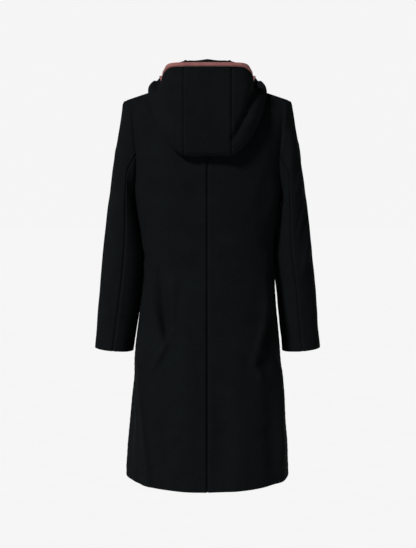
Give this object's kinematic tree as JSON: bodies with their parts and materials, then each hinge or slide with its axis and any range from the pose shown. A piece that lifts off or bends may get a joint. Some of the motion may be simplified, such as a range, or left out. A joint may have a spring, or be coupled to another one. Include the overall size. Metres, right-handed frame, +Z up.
{
  "type": "hooded duffle coat",
  "caption": "Knee-length wool duffle coat with long sleeves, a hood lying open on the back and a toggle front, filled out and open at neck, cuffs and hem.",
  "frame": {"origin": "the middle of the neck opening, just below the ends of the shoulder seams, where the wearer's shoulders and neck carry the coat", "axes": "+Z up, the front faces -Y and the back +Y, +X is the wearer's left"},
  "size_m": [0.5646, 0.31, 1.0393],
  "materials": {
    "wool": "black wool coating with a short brushed nap",
    "binding": "plain maroon cotton twill tape",
    "leather": "smooth black leather",
    "toggle": "dark polished wood"
  },
  "bodies": {
    "root": {"back_left": "wool", "back_right": "wool", "front_left": "wool", "front_right": "wool", "top_sleeve_left": "wool", "top_sleeve_right": "wool", "under_sleeve_left": "wool", "under_sleeve_right": "wool", "hood_centre": "wool", "hood_left": "wool", "hood_right": "wool", "hood_binding": "binding", "fastening_1_toggle": "toggle", "fastening_1_toggle_cord": "leather", "fastening_1_loop": "leather", "fastening_1_toggle_patch": "leather", "fastening_1_loop_patch": "leather", "fastening_2_toggle": "toggle", "fastening_2_toggle_cord": "leather", "fastening_2_loop": "leather", "fastening_2_toggle_patch": "leather", "fastening_2_loop_patch": "leather", "fastening_3_toggle": "toggle", "fastening_3_toggle_cord": "leather", "fastening_3_loop": "leather", "fastening_3_toggle_patch": "leather", "fastening_3_loop_patch": "leather"}
  },
  "joints": []
}
